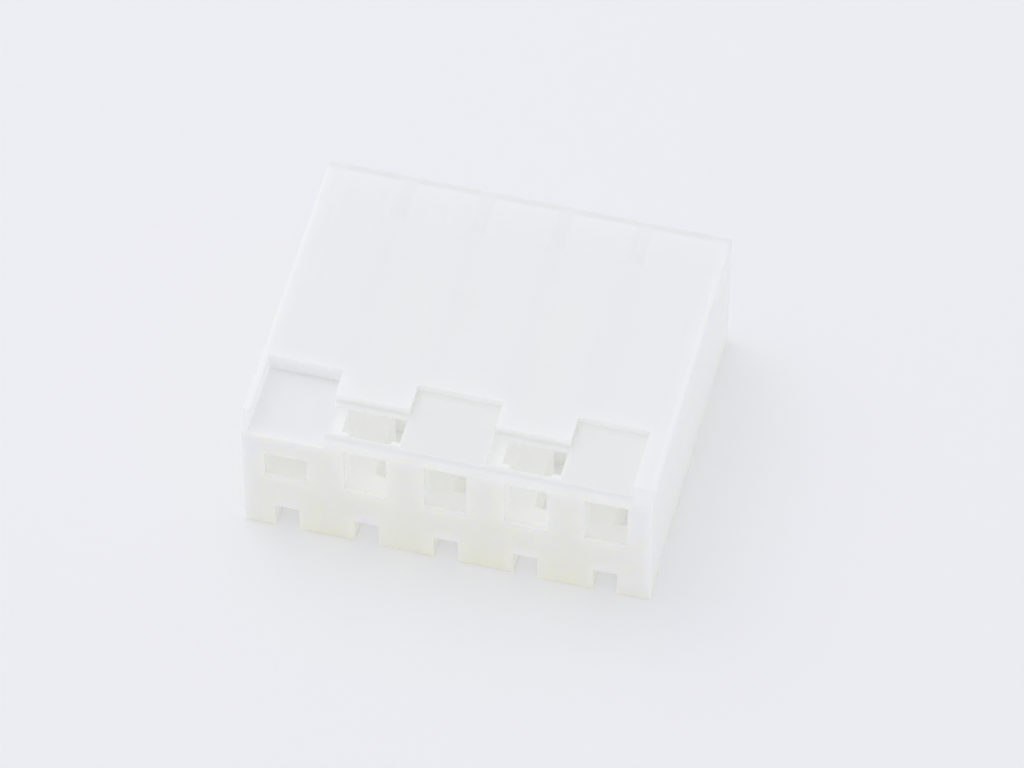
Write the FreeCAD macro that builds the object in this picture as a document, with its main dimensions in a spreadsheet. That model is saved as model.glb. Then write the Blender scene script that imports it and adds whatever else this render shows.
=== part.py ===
import FreeCAD, Part

import os

import Sketcher

# A five-circuit crimp terminal housing, moulded in one piece of natural nylon.
# It lies as it does on a bench: +X runs along the row of circuits, -Y is the mating face that
# the header's pins enter, +Y is the wire face, and +Z is up from the flat underside.
# The origin is the middle of the underside. Circuit 1, the keyed one, is at the -X end.

NODE = "housing"

# Driving sizes in millimetres: the name of the cell, its value, and what it sets.
SIZES = (
    ("circuits", 5, "terminal positions in the row"),
    ("pitch", 3.96, "from one circuit to the next"),
    ("depth", 16.66, "from the mating face to the wire face"),
    ("end_wall", 0.8, "wall outside the first and the last chamber"),
    ("top_wall", 0.98, "wall over the chambers"),
    ("bottom_wall", 1.6, "wall under the chambers"),
    ("front_wall", 1.2, "wall that the pins pass through"),
    ("chamber_width", 2.9, "terminal chamber, along the row"),
    ("chamber_height", 5.35, "terminal chamber, from floor to ceiling"),
    ("channel_reach", 5.2, "end of the contact channel, behind the mating face"),
    ("ledge_edge", 0.12, "side of the ledge in the channel, past the circuit's middle"),
    ("opening_width", 2.1, "pin opening, along the row"),
    ("sill_height", 2.4, "sill of the pin opening, above the chamber floor"),
    ("key_drop", 1.35, "how much lower the keyed channel's ceiling is"),
    ("groove_width", 1.2, "lance groove in the underside, along the row"),
    ("groove_length", 7.0, "lance groove, back from the mating face"),
    ("entry_width", 3.3, "wire entry at the wire face, along the row"),
    ("entry_length", 2.8, "tapered wire entry, in from the wire face"),
    ("slope_back", 0.7, "lead-in slope, back from the mating face"),
    ("slope_down", 0.93, "lead-in slope, down from the top"),
    ("window_width", 3.7, "window over an even circuit, along the row"),
    ("window_shift", 0.26, "how far each window lies towards the keyed end"),
    ("window_bar", 0.48, "bar left in front of a window"),
    ("window_reach", 2.55, "back of a window, behind the mating face"),
    ("recess_depth", 0.42, "shallow recess over an odd circuit"),
    ("recess_reach", 4.1, "back of every recess, behind the mating face"),
    ("key_depth", 1.0, "deeper recess over the keyed circuit"),
    ("rim_first", 0.4, "rim outside the keyed recess"),
    ("rim_last", 1.1, "rim outside the last recess"),
    ("edge_radius", 0.15, "rounding of the outer edges"),
)

# Places worked out from the driving sizes: the name of the cell and its formula.
WORKED = (
    ("width", "(Sizes.circuits - 1) * Sizes.pitch + Sizes.chamber_width + 2 * Sizes.end_wall"),
    ("height", "Sizes.bottom_wall + Sizes.chamber_height + Sizes.top_wall"),
    ("ceiling", "Sizes.bottom_wall + Sizes.chamber_height"),
    ("key_ceiling", "Sizes.bottom_wall + Sizes.chamber_height - Sizes.key_drop"),
    ("sill", "Sizes.bottom_wall + Sizes.sill_height"),
    ("face", "-Sizes.depth / 2"),
    ("first", "-(Sizes.circuits - 1) * Sizes.pitch / 2"),
    ("entry_flare", "(Sizes.entry_width - Sizes.chamber_width) / 2"),
)

# Heights of the sketch planes along their own normals. The upright plane's normal points to -Y.
AT_MATING_FACE = "Sizes.depth / 2"
AT_WIRE_FACE = "-Sizes.depth / 2"
AT_TOP = "Worked.height"
AT_MIDDLE = "0"

KEYED = "Worked.first"
SECOND = "(Worked.first + Sizes.pitch)"
OTHERS = "Sizes.circuits - 1"
WINDOW_MIDDLE = f"({SECOND} - Sizes.window_shift)"


def fill_sheet(doc, name, rows, formula_mark):
    """A sheet with one row for each size: what it sets, its value, and an alias for the value."""
    sheet = doc.addObject("Spreadsheet::Sheet", name)
    for line, (alias, value, *note) in enumerate(rows, start=1):
        sheet.set(f"A{line}", note[0] if note else alias)
        sheet.set(f"B{line}", f"{formula_mark}{value}")
        sheet.setAlias(f"B{line}", alias)
    doc.recompute()
    return sheet


def origin_feature(body, role):
    return next(item for item in body.Origin.OriginFeatures if item.Role == role)


def outline(body, name, role, height, points):
    """A closed sketch on an origin plane. Every corner's place is an expression."""
    sketch = body.newObject("Sketcher::SketchObject", name)
    sketch.AttachmentSupport = (origin_feature(body, role), "")
    sketch.MapMode = "FlatFace"
    sketch.setExpression("AttachmentOffset.Base.z", height)

    corners = [
        FreeCAD.Vector(sketch.evalExpression(across), sketch.evalExpression(up), 0) for across, up in points
    ]
    count = len(points)
    for start in range(count):
        end = (start + 1) % count
        sketch.addGeometry(Part.LineSegment(corners[start], corners[end]), False)
    for edge in range(count):
        sketch.addConstraint(Sketcher.Constraint("Coincident", edge, 2, (edge + 1) % count, 1))

    # A side whose two ends share a coordinate is level or upright, and each other coordinate is set.
    for axis, straight, measure in ((0, "Vertical", "DistanceX"), (1, "Horizontal", "DistanceY")):
        tied = [points[corner][axis] == points[corner - 1][axis] for corner in range(count)]
        for corner in range(count):
            if tied[corner]:
                sketch.addConstraint(Sketcher.Constraint(straight, (corner - 1) % count))
            else:
                value = corners[corner][axis]
                number = sketch.addConstraint(Sketcher.Constraint(measure, -1, 1, corner, 1, value))
                sketch.renameConstraint(number, f"{measure}{corner}")
                sketch.setExpression(f"Constraints.{measure}{corner}", points[corner][axis])
    return sketch


def rectangle(body, name, role, height, left, right, low, high):
    corners = ((left, low), (right, low), (right, high), (left, high))
    return outline(body, name, role, height, corners)


def centred(middle, width):
    """The two sides of something of a width, about its middle."""
    return f"{middle} - {width} / 2", f"{middle} + {width} / 2"


def finish_cut(body, feature):
    """Recompute and make sure that the cut took something away."""
    before = body.Shape.Volume
    body.Tip = feature
    body.Document.recompute()
    if not body.Shape.Volume < before:
        raise RuntimeError(f"{feature.Label} removes nothing")
    return feature


def pocket(body, name, sketch, length, reverse=False, taper=None):
    cut = body.newObject("PartDesign::Pocket", name)
    cut.Profile = sketch
    cut.setExpression("Length", length)
    cut.Reversed = reverse
    if taper:
        cut.setExpression("TaperAngle", taper)
    return finish_cut(body, cut)


def repeat(body, feature, name, count, step):
    """Copies of a cut along the row."""
    pattern = body.newObject("PartDesign::LinearPattern", name)
    pattern.Originals = [feature]
    pattern.Direction = (origin_feature(body, "X_Axis"), [""])
    pattern.Mode = "Spacing"
    pattern.setExpression("Offset", step)
    pattern.setExpression("Occurrences", count)
    return finish_cut(body, pattern)


def add_block(body):
    """The outer block with its lead-in slope along the top of the mating face."""
    back = "Sizes.depth / 2"
    side = outline(
        body,
        "block_side",
        "YZ_Plane",
        AT_MIDDLE,
        (
            ("Worked.face", "0"),
            (back, "0"),
            (back, "Worked.height"),
            ("Worked.face + Sizes.slope_back", "Worked.height"),
            ("Worked.face", "Worked.height - Sizes.slope_down"),
        ),
    )
    block = body.newObject("PartDesign::Pad", "block")
    block.Profile = side
    block.SideType = "Symmetric"
    block.setExpression("Length", "Worked.width")
    body.Document.recompute()

    rounding = body.newObject("PartDesign::Fillet", "outer_edges")
    rounding.Base = (block, [f"Edge{number}" for number in range(1, len(block.Shape.Edges) + 1)])
    rounding.setExpression("Radius", "Sizes.edge_radius")
    body.Tip = rounding
    body.Document.recompute()


def cut_chambers(body):
    """The full chambers from the wire face, and the narrower contact channels in front of them."""
    left, right = centred(KEYED, "Sizes.chamber_width")
    section = rectangle(
        body, "chamber_section", "XZ_Plane", AT_WIRE_FACE, left, right, "Sizes.bottom_wall", "Worked.ceiling"
    )
    chamber = pocket(body, "chamber", section, "Sizes.depth - Sizes.channel_reach", reverse=True)
    repeat(body, chamber, "chambers", "Sizes.circuits", "Sizes.pitch")

    channel_length = "Sizes.depth - Sizes.front_wall"
    keyed = channel_section(body, "keyed_channel_section", KEYED, "Worked.key_ceiling")
    pocket(body, "keyed_channel", keyed, channel_length, reverse=True)
    plain = channel_section(body, "channel_section", SECOND, "Worked.ceiling")
    channel = pocket(body, "channel", plain, channel_length, reverse=True)
    repeat(body, channel, "channels", OTHERS, "Sizes.pitch")


def channel_section(body, name, middle, ceiling):
    """A chamber's section with a ledge, level with the sill, that fills its lower corner."""
    left, right = centred(middle, "Sizes.chamber_width")
    ledge = f"{middle} + Sizes.ledge_edge"
    corners = (
        (left, "Worked.sill"),
        (ledge, "Worked.sill"),
        (ledge, "Sizes.bottom_wall"),
        (right, "Sizes.bottom_wall"),
        (right, ceiling),
        (left, ceiling),
    )
    return outline(body, name, "XZ_Plane", AT_WIRE_FACE, corners)


def cut_entries(body):
    """The flared wire entries, which narrow to the chambers' own section."""
    left, right = centred(KEYED, "Sizes.entry_width")
    low = "Sizes.bottom_wall - Worked.entry_flare"
    high = "Worked.ceiling + Worked.entry_flare"
    mouth = rectangle(body, "entry_mouth", "XZ_Plane", AT_WIRE_FACE, left, right, low, high)
    flare = "-atan(Worked.entry_flare / Sizes.entry_length)"
    entry = pocket(body, "entry", mouth, "Sizes.entry_length", reverse=True, taper=flare)
    repeat(body, entry, "entries", "Sizes.circuits", "Sizes.pitch")


def cut_mating_face(body):
    """The pin openings, lower at the keyed circuit, and the lance grooves in the underside."""
    left, right = centred(KEYED, "Sizes.opening_width")
    keyed = rectangle(
        body, "keyed_opening_shape", "XZ_Plane", AT_MATING_FACE, left, right, "Worked.sill", "Worked.key_ceiling"
    )
    pocket(body, "keyed_opening", keyed, "Sizes.front_wall")

    left, right = centred(SECOND, "Sizes.opening_width")
    shape = rectangle(
        body, "opening_shape", "XZ_Plane", AT_MATING_FACE, left, right, "Worked.sill", "Worked.ceiling"
    )
    opening = pocket(body, "opening", shape, "Sizes.front_wall")
    repeat(body, opening, "openings", OTHERS, "Sizes.pitch")

    left, right = centred(KEYED, "Sizes.groove_width")
    below = "-Sizes.bottom_wall"
    notch = rectangle(
        body, "groove_shape", "XZ_Plane", AT_MATING_FACE, left, right, below, "Sizes.bottom_wall"
    )
    groove = pocket(body, "groove", notch, "Sizes.groove_length")
    repeat(body, groove, "grooves", "Sizes.circuits", "Sizes.pitch")


def cut_top(body):
    """Over the contacts: a window at every even circuit and a recess at every odd one."""
    left, right = centred(WINDOW_MIDDLE, "Sizes.window_width")
    front = "Worked.face + Sizes.window_bar"
    back = "Worked.face + Sizes.window_reach"
    shape = rectangle(body, "window_shape", "XY_Plane", AT_TOP, left, right, front, back)
    window = pocket(body, "window", shape, "Sizes.top_wall")
    repeat(body, window, "windows", "floor(Sizes.circuits / 2)", "2 * Sizes.pitch")

    ahead = "Worked.face - Sizes.slope_back"
    recess_back = "Worked.face + Sizes.recess_reach"
    rim = "-Worked.width / 2 + Sizes.rim_first"
    shape = rectangle(body, "keyed_recess_shape", "XY_Plane", AT_TOP, rim, left, ahead, recess_back)
    pocket(body, "keyed_recess", shape, "Sizes.key_depth")

    next_left = f"{left} + 2 * Sizes.pitch"
    shape = rectangle(body, "recess_shape", "XY_Plane", AT_TOP, right, next_left, ahead, recess_back)
    pocket(body, "recess", shape, "Sizes.recess_depth")

    last_left = f"{right} + 2 * Sizes.pitch"
    last_right = "Worked.width / 2 - Sizes.rim_last"
    shape = rectangle(body, "last_recess_shape", "XY_Plane", AT_TOP, last_left, last_right, ahead, recess_back)
    pocket(body, "last_recess", shape, "Sizes.recess_depth")


def check(doc, body):
    """Stop if any object failed, or if the body isn't one sound solid."""
    for item in doc.Objects:
        if "Invalid" in item.State or "Error" in item.State:
            raise RuntimeError(f"{item.Label} failed: {item.State}")
    shape = body.Shape
    if shape.isNull() or not shape.isValid() or len(shape.Solids) != 1:
        raise RuntimeError(f"{body.Label} is not one valid solid")


def main():
    doc = FreeCAD.newDocument("connector_housing")
    fill_sheet(doc, "Sizes", SIZES, "")
    fill_sheet(doc, "Worked", WORKED, "=")

    body = doc.addObject("PartDesign::Body", NODE)
    body.Label = NODE
    body.Placement = FreeCAD.Placement()
    add_block(body)
    cut_chambers(body)
    cut_entries(body)
    cut_mating_face(body)
    cut_top(body)

    doc.recompute()
    check(doc, body)
    os.makedirs("parts", exist_ok=True)
    body.Shape.exportStep(f"parts/{NODE}.step")
    box = body.Shape.BoundBox
    print(f"{NODE}: {box.XLength:.2f} x {box.YLength:.2f} x {box.ZLength:.2f} mm, {body.Shape.Volume:.1f} mm3")


main()
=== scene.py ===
import math
from types import SimpleNamespace

import bpy
from mathutils import Matrix, Vector


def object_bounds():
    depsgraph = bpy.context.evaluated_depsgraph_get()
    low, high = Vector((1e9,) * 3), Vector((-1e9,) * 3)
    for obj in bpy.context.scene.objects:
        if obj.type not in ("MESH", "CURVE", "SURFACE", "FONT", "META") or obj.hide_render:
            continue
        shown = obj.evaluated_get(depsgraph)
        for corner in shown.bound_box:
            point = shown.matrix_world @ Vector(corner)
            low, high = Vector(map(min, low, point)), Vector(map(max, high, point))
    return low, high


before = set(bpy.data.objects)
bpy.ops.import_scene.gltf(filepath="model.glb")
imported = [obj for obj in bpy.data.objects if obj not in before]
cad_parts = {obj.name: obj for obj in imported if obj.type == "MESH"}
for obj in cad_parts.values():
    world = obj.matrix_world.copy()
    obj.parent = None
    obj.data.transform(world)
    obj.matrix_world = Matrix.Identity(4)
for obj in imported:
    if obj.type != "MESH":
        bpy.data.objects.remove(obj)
cad_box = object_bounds()

# The looks of a five-circuit wire to board connector housing. The shapes are all in the CAD node, which
# stays as it is and gets one material.

MM = 0.001
PITCH = 3.96  # from one circuit to the next, in millimetres

# The photograph's view, fitted to the outline of the housing.
VIEW_AZIMUTH = 14.2
VIEW_ELEVATION = 52.0
VIEW_DISTANCE = 343.7 * MM
VIEW_LENS = 246.0
SENSOR_WIDTH = 36.0
AIM_RIGHT = 1.16 * MM
AIM_UP = 2.14 * MM

# A bright light tent, and a weak soft box behind the housing on the left.
TENT_STRENGTH = 0.842
TENT_COLOUR = (0.955, 0.96, 1.0)
TENT_BRIGHT_SIDE = (-0.2, 0.85, 0.49)
TENT_LEVELS = (0.99, 1.01)
KEY_AZIMUTH = -120.0
KEY_ELEVATION = 56.0
KEY_DISTANCE = 0.5
KEY_SIZE = 0.4
KEY_POWER = 0.265
KEY_COLOUR = (1.0, 0.99, 0.98)

FLOOR_HALF = 2.0
FLOOR_DROP = 0.02 * MM
FLOOR_COLOUR = (0.892, 0.896, 0.903, 1.0)
FLOOR_EMISSION = (0.052, 0.048, 0.066, 1.0)
FLOOR_ROUGHNESS = 0.9

# Colours of the outer skin: the nylon's own colour, with painted light and painted shade over it, warmer where
# the light has crossed more nylon.
SKIN_BY_EDGES = (0.982, 0.986, 0.948, 1.0)
# Painted light: warmer in the middle of the housing, where light crosses more nylon.
SKIN_IN_MIDDLE_PAINTED_LIGHT = (0.98, 0.988, 0.914, 1.0)
# Painted light: warmer on the mating face.
MATING_FACE_PAINTED_LIGHT = (0.991, 0.993, 0.824, 1.0)
# Painted shade: darker and warmer low on the mating face, near the floor.
LOW_ON_FACE_PAINTED_SHADE = (0.974, 0.979, 0.805, 1.0)
# Painted light: warmer on the end faces.
END_FACES_PAINTED_LIGHT = (0.991, 0.991, 0.895, 1.0)
# Painted light: warmer on the posts at the ends of the mating face.
END_POSTS_PAINTED_LIGHT = (0.992, 0.994, 0.89, 1.0)
# Painted shade: darker and warmer at the foot of the end faces, near the floor.
FOOT_PAINTED_SHADE = (0.978, 0.982, 0.86, 1.0)
# Painted shade: a dark line across the sill of each front opening.
SILL_LINE_PAINTED_SHADE = (0.93, 0.935, 0.83, 1.0)
# Painted light: paler over the lance grooves.
OVER_GROOVES_PAINTED_LIGHT = (0.993, 0.996, 0.895, 1.0)
# Painted glow on the top over the open chambers at the wire face.
OVER_CHAMBERS_PAINTED_GLOW = (0.992, 0.993, 0.975, 1.0)
# Painted shade: a dark line along the far edge of the top.
FAR_EDGE_PAINTED_SHADE = (0.9, 0.903, 0.905, 1.0)
# Painted shade on the top over the partitions at the wire face.
OVER_PARTITIONS_PAINTED_SHADE = (0.915, 0.918, 0.915, 1.0)
# Painted shade: the top is darker over the end walls.
OVER_END_WALLS_PAINTED_SHADE = (0.95, 0.953, 0.94, 1.0)
FLOW_MARKS = (0.988, 0.99, 0.984, 1.0)
SCUFFS = (0.985, 0.986, 0.965, 1.0)
# Painted shade: darker floors of the shallow recesses.
THIN_FLOORS_PAINTED_SHADE = (0.933, 0.958, 0.897, 1.0)

# Colours of the chambers' surfaces: white, with painted light low in them and painted shade behind the front
# openings and in the lance grooves.
CHAMBERS = (1.0, 1.0, 1.0, 1.0)
LOW_IN_CHAMBERS_PAINTED_LIGHT = (1.0, 1.0, 0.998, 1.0)
BEHIND_OPENINGS_PAINTED_SHADE = (0.989, 0.99, 0.978, 1.0)
LANCE_GROOVES_PAINTED_SHADE = (0.992, 0.992, 0.985, 1.0)

# How far light wanders under the skin.
SCATTER = 1.5 * MM
SCATTER_IN_END_FACES = 3.0 * MM
SCATTER_WHERE_DENSE = 0.2 * MM

BOUNCES = 128


class Nodes:
    """Short ways to add nodes to one node tree."""

    def __init__(self, tree):
        self.tree = tree

    def add(self, kind, inputs=None, **settings):
        """A node, with each input given as a number, a colour or another node's output."""
        node = self.tree.nodes.new(kind)
        for key, value in settings.items():
            setattr(node, key, value)
        for name, value in (inputs or {}).items():
            if isinstance(value, bpy.types.NodeSocket):
                self.tree.links.new(value, node.inputs[name])
            else:
                node.inputs[name].default_value = value
        return node

    def maths(self, operation, *terms):
        return self.add("ShaderNodeMath", dict(enumerate(terms)), operation=operation).outputs[0]

    def product(self, first, *others):
        for other in others:
            first = self.maths("MULTIPLY", first, other)
        return first

    def least(self, first, *others):
        for other in others:
            first = self.maths("MINIMUM", first, other)
        return first

    def most(self, first, *others):
        for other in others:
            first = self.maths("MAXIMUM", first, other)
        return first

    def vector(self, operation, *terms):
        node = self.add("ShaderNodeVectorMath", dict(enumerate(terms)), operation=operation)
        return node.outputs["Vector"]

    def fade(self, value, start, end, low=0.0, high=1.0):
        """A smooth change from low to high as a value goes from start to end."""
        inputs = {"Value": value, "From Min": start, "From Max": end, "To Min": low, "To Max": high}
        return self.add("ShaderNodeMapRange", inputs, interpolation_type="SMOOTHSTEP").outputs["Result"]

    def blend(self, amount, first, second, kind="MIX"):
        """A mix of two colours."""
        inputs = {0: amount, 6: first, 7: second}
        return self.add("ShaderNodeMix", inputs, data_type="RGBA", blend_type=kind).outputs[2]

    def noise(self, place, scale, detail):
        inputs = {"Vector": place, "Scale": scale, "Detail": detail, "Roughness": 0.55}
        return self.add("ShaderNodeTexNoise", inputs).outputs["Fac"]


def view_frame(azimuth, elevation):
    """The right, up and backward directions of what looks from this azimuth and elevation, in degrees."""
    azimuth, elevation = math.radians(azimuth), math.radians(elevation)
    back = Vector(
        (
            math.sin(azimuth) * math.cos(elevation),
            -math.cos(azimuth) * math.cos(elevation),
            math.sin(elevation),
        )
    )
    right = Vector((math.cos(azimuth), math.sin(azimuth), 0.0))
    return right, back.cross(right), back


def put(name, data, axes, place):
    """A new object of the data, turned to the axes."""
    item = bpy.data.objects.new(name, data)
    item.matrix_world = Matrix.Translation(place) @ Matrix(axes).transposed().to_4x4()
    bpy.context.collection.objects.link(item)
    return item


def add_camera():
    right, up, back = view_frame(VIEW_AZIMUTH, VIEW_ELEVATION)
    data = bpy.data.cameras.new("camera")
    data.lens = VIEW_LENS
    data.sensor_width = SENSOR_WIDTH
    data.clip_start = 0.01
    data.clip_end = 10.0
    place = back * VIEW_DISTANCE + right * AIM_RIGHT + up * AIM_UP
    bpy.context.scene.camera = put("camera", data, (right, up, back), place)


def add_key_light():
    right, up, back = view_frame(KEY_AZIMUTH, KEY_ELEVATION)
    data = bpy.data.lights.new("key", "AREA")
    data.shape = "SQUARE"
    data.size = KEY_SIZE
    data.energy = KEY_POWER
    data.color = KEY_COLOUR
    put("key", data, (right, up, back), back * KEY_DISTANCE)


def add_tent():
    """An even pale world, a little brighter behind the housing and over it than towards the viewer."""
    world = bpy.data.worlds.new("studio")
    world.use_nodes = True
    background = world.node_tree.nodes["Background"]
    background.inputs["Strength"].default_value = TENT_STRENGTH

    nodes = Nodes(world.node_tree)
    direction = nodes.add("ShaderNodeTexCoord").outputs["Generated"]
    inputs = {0: direction, 1: TENT_BRIGHT_SIDE}
    towards = nodes.add("ShaderNodeVectorMath", inputs, operation="DOT_PRODUCT").outputs["Value"]
    inputs = {0: TENT_COLOUR, "Scale": nodes.fade(towards, -1.0, 1.0, *TENT_LEVELS)}
    shade = nodes.add("ShaderNodeVectorMath", inputs, operation="SCALE").outputs["Vector"]
    world.node_tree.links.new(shade, background.inputs["Color"])
    bpy.context.scene.world = world


def add_floor():
    mesh = bpy.data.meshes.new("floor")
    signs = ((-1.0, -1.0), (1.0, -1.0), (1.0, 1.0), (-1.0, 1.0))
    corners = [(across * FLOOR_HALF, along * FLOOR_HALF, -FLOOR_DROP) for across, along in signs]
    mesh.from_pydata(corners, [], [(0, 1, 2, 3)])
    floor = bpy.data.objects.new("floor", mesh)
    bpy.context.collection.objects.link(floor)

    material = bpy.data.materials.new("pale_board")
    material.use_nodes = True
    shader = material.node_tree.nodes["Principled BSDF"]
    shader.inputs["Base Color"].default_value = FLOOR_COLOUR
    shader.inputs["Roughness"].default_value = FLOOR_ROUGHNESS
    shader.inputs["Specular IOR Level"].default_value = 0.0
    shader.inputs["Emission Color"].default_value = FLOOR_EMISSION
    shader.inputs["Emission Strength"].default_value = 1.0
    mesh.materials.append(material)


def find_places(nodes):
    """The point, and its distances in millimetres from the housing's faces and from its inner walls."""
    half_width, half_depth, height = (cad_box[1][axis] / MM for axis in range(3))
    coordinates = nodes.add("ShaderNodeTexCoord").outputs["Object"]
    point = nodes.vector("MULTIPLY", coordinates, (1.0 / MM, 1.0 / MM, 1.0 / MM))
    x, y, z = nodes.add("ShaderNodeSeparateXYZ", {0: point}).outputs

    to_side = nodes.maths("SUBTRACT", half_width, nodes.maths("ABSOLUTE", x))
    to_front = nodes.maths("ADD", y, half_depth)
    to_back = nodes.maths("SUBTRACT", half_depth, y)
    to_top = nodes.maths("SUBTRACT", height, z)
    to_level = nodes.least(to_top, z)
    nearest = nodes.least(to_side, nodes.least(to_front, to_back), to_level)

    across = nodes.maths("SUBTRACT", nodes.maths("FRACT", nodes.maths("DIVIDE", x, PITCH)), 0.5)
    to_partition = nodes.maths("MULTIPLY", nodes.maths("ABSOLUTE", across), PITCH)
    return SimpleNamespace(
        point=point,
        from_keyed_end=nodes.maths("ADD", x, half_width),
        z=z,
        to_side=to_side,
        to_front=to_front,
        to_back=to_back,
        to_top=to_top,
        to_level=to_level,
        nearest=nearest,
        to_partition=to_partition,
        to_circuit=nodes.maths("SUBTRACT", 0.5 * PITCH, to_partition),
    )


def find_zones(nodes, at):
    """Where each tone of the nylon lies, from 0 to 1: most are painted light and painted shade, and some set how
    far light scatters.
    """
    fade, product = nodes.fade, nodes.product
    front = fade(at.to_front, 1.5, 0.2)
    skin_deep = fade(at.to_top, 0.6, 0.3)
    mouth = product(fade(at.to_back, 3.2, 2.4), skin_deep)
    return SimpleNamespace(
        outside=fade(at.nearest, 0.3, 0.06),
        # Painted light: the skin is painted warmer where light has crossed more of the nylon, most of all low on
        # the mating face, which is also painted darker there as shade.
        middle=product(fade(at.to_side, 0.5, 6.0), fade(at.to_back, 1.0, 7.0)),
        face=product(front, fade(at.z, 7.9, 6.4), fade(at.to_side, 0.3, 5.0, 0.85, 1.0)),
        low=product(fade(at.z, 4.6, 0.6), fade(at.to_side, 0.3, 4.5), front),
        # Painted light on the end faces and the posts, and painted shade at the foot of the end faces.
        end_face=fade(at.to_side, 0.3, 0.1),
        post=product(fade(at.to_side, 1.15, 0.9), fade(at.z, 4.4, 5.4), front),
        foot=product(fade(at.z, 3.6, 0.3), fade(at.to_side, 0.4, 0.1)),
        # Painted shade: a dark line across the sill of each front opening.
        sill_line=product(
            fade(at.z, 3.7, 3.88),
            fade(at.z, 4.2, 4.08),
            fade(at.to_circuit, 1.2, 1.0),
            fade(at.to_front, 0.5, 0.2),
        ),
        # Painted light: the skin is painted paler over each lance groove, where more light comes in from below.
        over_groove=product(
            fade(at.z, 2.3, 2.0),
            fade(at.z, 1.55, 1.7),
            fade(at.to_circuit, 0.65, 0.45),
            fade(at.to_front, 0.3, 0.1),
        ),
        # Painted light and shade: at the wire face the top is painted paler over the open chambers, as if they
        # glowed through it, and darker over the partitions between them.
        glow=product(mouth, fade(at.to_partition, 0.3, 0.6)),
        dim=product(mouth, fade(at.to_partition, 0.6, 0.3)),
        # Painted shade: a dark line along the far edge of the top.
        far_edge=product(fade(at.to_back, 0.6, 0.35), skin_deep),
        # Painted shade: the top is darker over the end walls.
        over_end_wall=product(
            fade(at.to_side, 1.15, 0.85), fade(at.to_top, 0.3, 0.1), fade(at.to_side, 0.2, 0.35)
        ),
        # Painted light and shade inside: warmer low in the chambers, darker behind the front openings and in the
        # lance grooves.
        deep=product(fade(at.z, 4.0, 3.5), fade(at.nearest, 0.8, 1.2)),
        behind_opening=fade(at.to_front, 5.5, 3.0),
        groove=product(fade(at.z, 1.75, 1.6), fade(at.to_circuit, 0.75, 0.65)),
        # Painted shade: the floors of the shallow recesses are thin and painted darker, as less light comes back
        # from them.
        thin=product(
            fade(at.to_top, 0.25, 0.38),
            fade(at.to_top, 0.7, 0.5),
            fade(at.to_front, 4.25, 3.8),
            fade(at.to_side, 0.9, 1.1),
        ),
        keyed_recess=product(
            fade(at.to_top, 1.2, 1.1), fade(at.to_front, 4.3, 4.15), fade(at.from_keyed_end, 4.35, 4.2)
        ),
    )


def find_scuffs(nodes, at):
    """Patches of wear along the outer edges."""
    by_side, by_end, by_level = (
        nodes.fade(gap, 0.3, 0.08) for gap in (at.to_side, at.to_front, at.to_level)
    )
    edges = nodes.most(
        nodes.product(by_side, by_end), nodes.product(by_side, by_level), nodes.product(by_end, by_level)
    )
    return nodes.product(edges, nodes.fade(nodes.noise(at.point, 2.2, 4.0), 0.42, 0.6))


def layered(nodes, colour, *layers):
    """A colour with others laid over it, each by its own amount."""
    for amount, over in layers:
        colour = nodes.blend(amount, colour, over)
    return colour


# The nylon's own colour, with painted light and painted shade laid over it zone by zone.
def nylon_colour_with_painted_light(nodes, at, zone, scuffs):
    skin = layered(
        nodes,
        SKIN_BY_EDGES,
        (zone.middle, SKIN_IN_MIDDLE_PAINTED_LIGHT),
        (zone.face, MATING_FACE_PAINTED_LIGHT),
        (zone.low, LOW_ON_FACE_PAINTED_SHADE),
        (zone.end_face, END_FACES_PAINTED_LIGHT),
        (zone.post, END_POSTS_PAINTED_LIGHT),
        (nodes.product(zone.foot, 0.6), FOOT_PAINTED_SHADE),
        (zone.sill_line, SILL_LINE_PAINTED_SHADE),
        (zone.over_groove, OVER_GROOVES_PAINTED_LIGHT),
        (zone.glow, OVER_CHAMBERS_PAINTED_GLOW),
        (zone.far_edge, FAR_EDGE_PAINTED_SHADE),
        (zone.dim, OVER_PARTITIONS_PAINTED_SHADE),
        (nodes.product(zone.over_end_wall, 0.6), OVER_END_WALLS_PAINTED_SHADE),
    )

    # Flow marks run with the chambers, and the outer edges are scuffed a little paler.
    along_chambers = nodes.vector("MULTIPLY", at.point, (0.9, 0.16, 0.9))
    marks = nodes.fade(nodes.noise(along_chambers, 1.0, 3.0), 0.35, 0.65)
    skin = nodes.blend(marks, skin, FLOW_MARKS, "MULTIPLY")
    skin = nodes.blend(nodes.product(scuffs, 0.35), skin, SCUFFS)

    # Inside, the chambers are white, with painted light and shade laid over them.
    chambers = layered(
        nodes,
        CHAMBERS,
        (zone.deep, LOW_IN_CHAMBERS_PAINTED_LIGHT),
        (zone.behind_opening, BEHIND_OPENINGS_PAINTED_SHADE),
        (zone.groove, LANCE_GROOVES_PAINTED_SHADE),
    )
    return layered(nodes, chambers, (zone.outside, skin), (zone.thin, THIN_FLOORS_PAINTED_SHADE))


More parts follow.
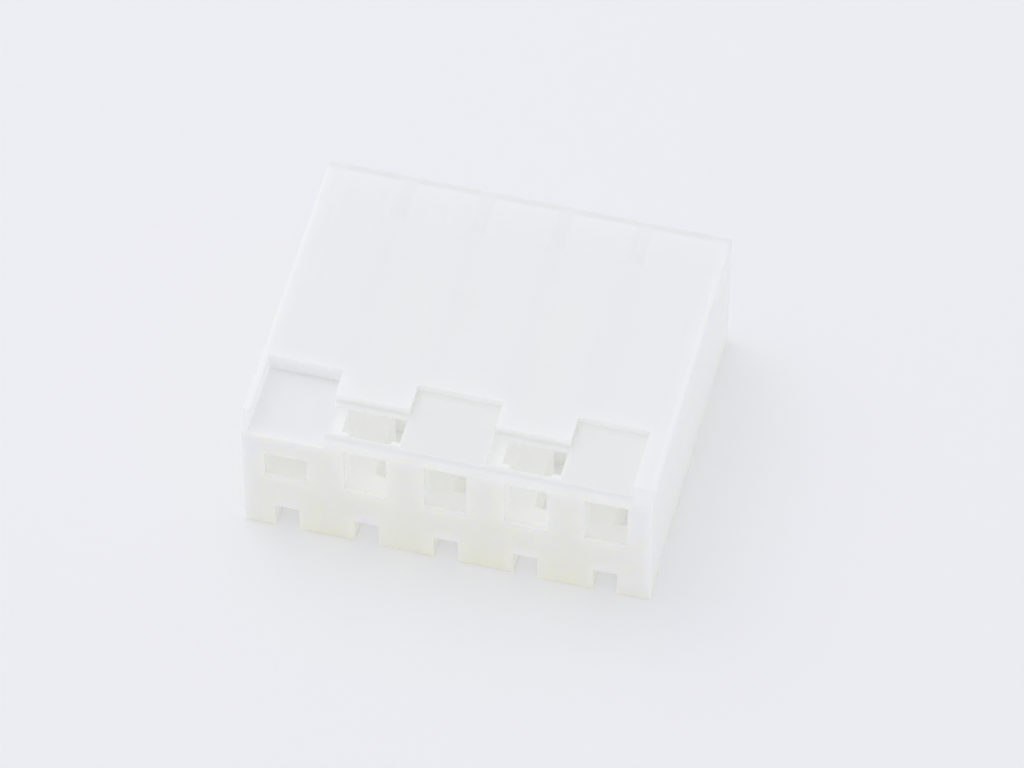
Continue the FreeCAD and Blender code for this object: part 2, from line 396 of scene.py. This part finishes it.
def even_radius(nodes, colour):
    """The scatter radius that undoes the shader's own dependence on the colour, so that all channels share it."""
    offset = nodes.vector("SUBTRACT", colour, (0.8, 0.8, 0.8))
    square = nodes.vector("MULTIPLY", offset, offset)
    line = nodes.vector("SUBTRACT", (1.9, 1.9, 1.9), colour)
    shrink = nodes.vector("MULTIPLY_ADD", square, (3.5, 3.5, 3.5), line)
    return nodes.vector("DIVIDE", (1.0, 1.0, 1.0), shrink)


def make_nylon():
    """Milky natural nylon: light wanders under the skin, the chambers inside are pale, and light and shade are
    painted into the colour.
    """
    material = bpy.data.materials.new("natural_nylon")
    material.use_nodes = True
    shader = material.node_tree.nodes["Principled BSDF"]
    nodes = Nodes(material.node_tree)
    at = find_places(nodes)
    zone = find_zones(nodes, at)
    scuffs = find_scuffs(nodes, at)
    colour = nylon_colour_with_painted_light(nodes, at, zone, scuffs)

    # A satin, spark-eroded mould texture.
    grain = nodes.noise(at.point, 9.0, 2.0)
    swell = nodes.noise(at.point, 1.1, 2.0)
    roughness = nodes.maths("ADD", nodes.fade(grain, 0.3, 0.7, 0.4, 0.52), nodes.product(scuffs, 0.12))
    relief = nodes.maths("ADD", nodes.product(grain, 0.3), swell)
    bump = nodes.add("ShaderNodeBump", {"Height": relief, "Strength": 0.25, "Distance": 0.02 * MM})

    scattering = nodes.most(zone.outside, nodes.most(zone.thin, zone.keyed_recess))
    dense = nodes.most(zone.thin, zone.deep, zone.far_edge, zone.groove)
    reach = nodes.fade(zone.end_face, 0.0, 1.0, SCATTER, SCATTER_IN_END_FACES)
    links = {
        "Base Color": colour,
        "Roughness": roughness,
        "Specular IOR Level": nodes.product(zone.outside, 0.25),
        "Normal": bump.outputs["Normal"],
        "Subsurface Weight": scattering,
        "Subsurface Radius": even_radius(nodes, colour),
        "Subsurface Scale": nodes.fade(dense, 0.0, 1.0, reach, SCATTER_WHERE_DENSE),
    }
    for name, source in links.items():
        material.node_tree.links.new(source, shader.inputs[name])
    shader.subsurface_method = "RANDOM_WALK_SKIN"
    return material


def dress_housing():
    nylon = make_nylon()
    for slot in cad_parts["housing"].material_slots:
        slot.material = nylon


def set_picture():
    scene = bpy.context.scene
    scene.view_settings.view_transform = "Standard"
    scene.cycles.max_bounces = BOUNCES
    scene.cycles.diffuse_bounces = BOUNCES


add_camera()
add_tent()
add_key_light()
add_floor()
dress_housing()
set_picture()
